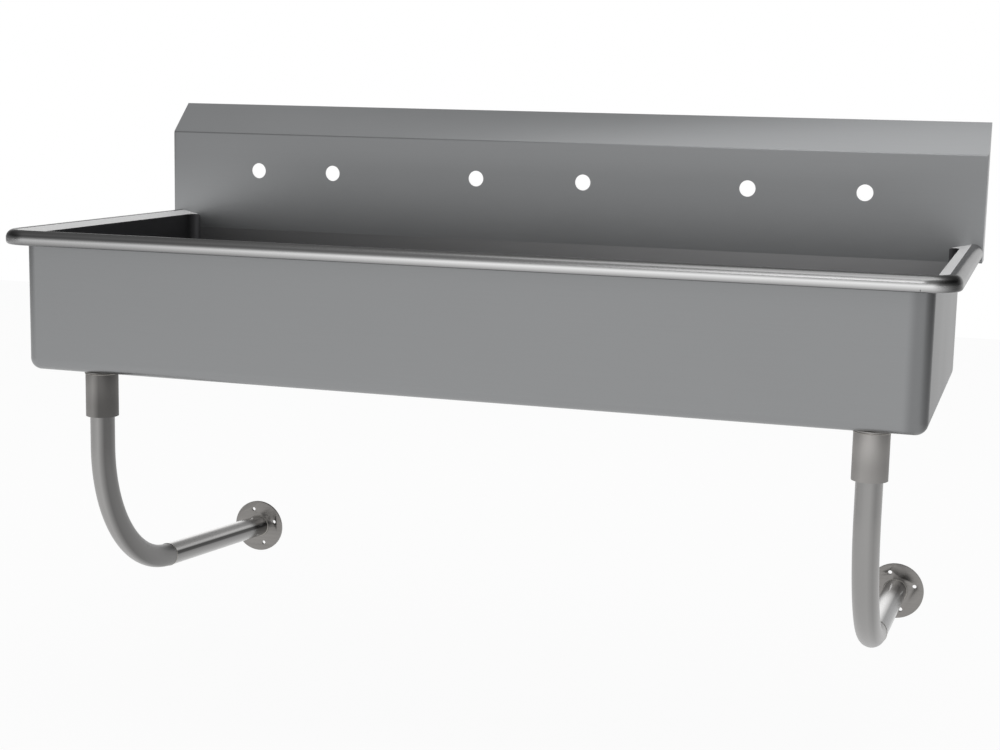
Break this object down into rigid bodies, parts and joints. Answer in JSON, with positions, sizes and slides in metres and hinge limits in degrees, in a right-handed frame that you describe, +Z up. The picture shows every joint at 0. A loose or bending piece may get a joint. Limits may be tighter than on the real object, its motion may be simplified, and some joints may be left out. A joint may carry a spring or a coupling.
{
  "type": "trough sink",
  "caption": "Wall-hung stainless trough sink with a coved bowl, rolled rim, tall splash with paired faucet holes, bent tube supports and a lift-out strainer basket.",
  "frame": {"origin": "middle of the wall cleat's screw line, on the face of the wall", "axes": "+X along the sink to the right, +Y into the wall, +Z up"},
  "size_m": [1.524, 0.678, 0.887],
  "materials": {
    "bowl_steel": "fine brushed stainless, lines along the sink",
    "rim_steel": "polished stainless",
    "splash_steel": "fine brushed stainless",
    "cleat_steel": "mill finish stainless",
    "socket_steel": "satin stainless",
    "tube_steel": "satin stainless",
    "run_steel": "polished stainless",
    "drain_steel": "bright stainless",
    "screw_steel": "plain steel set screws",
    "nut_brass": "cast locknut",
    "rubber": "black rubber",
    "fibre": "pressed fibre washer"
  },
  "bodies": {
    "sink": {"trough_wrap": "bowl_steel", "left_end_wall": "bowl_steel", "right_end_wall": "bowl_steel", "front_rim": "rim_steel", "left_rim_corner": "rim_steel", "right_rim_corner": "rim_steel", "left_rim": "rim_steel", "right_rim": "rim_steel", "backsplash": "splash_steel", "left_splash_end": "splash_steel", "right_splash_end": "splash_steel", "hanger_cleat": "cleat_steel", "wall_cleat": "cleat_steel", "left_socket_plate": "cleat_steel", "right_socket_plate": "cleat_steel", "left_leg_socket": "socket_steel", "right_leg_socket": "socket_steel", "left_set_screws": "screw_steel", "right_set_screws": "screw_steel", "left_leg_tube": "tube_steel", "right_leg_tube": "tube_steel", "left_leg_run": "run_steel", "right_leg_run": "run_steel", "left_wall_flange": "run_steel", "right_wall_flange": "run_steel", "drain_body": "drain_steel", "drain_seal": "rubber", "drain_gasket": "rubber", "drain_washer": "fibre", "drain_locknut": "nut_brass"},
    "basket": {"strainer_basket": "drain_steel", "basket_post": "drain_steel", "basket_stopper": "rubber", "basket_nut": "drain_steel"}
  },
  "joints": [
    {"name": "basket_lift", "type": "slide", "parent": "sink", "child": "basket", "axis": [0, 0, 1], "range_m": [0, 0.12]}
  ]
}
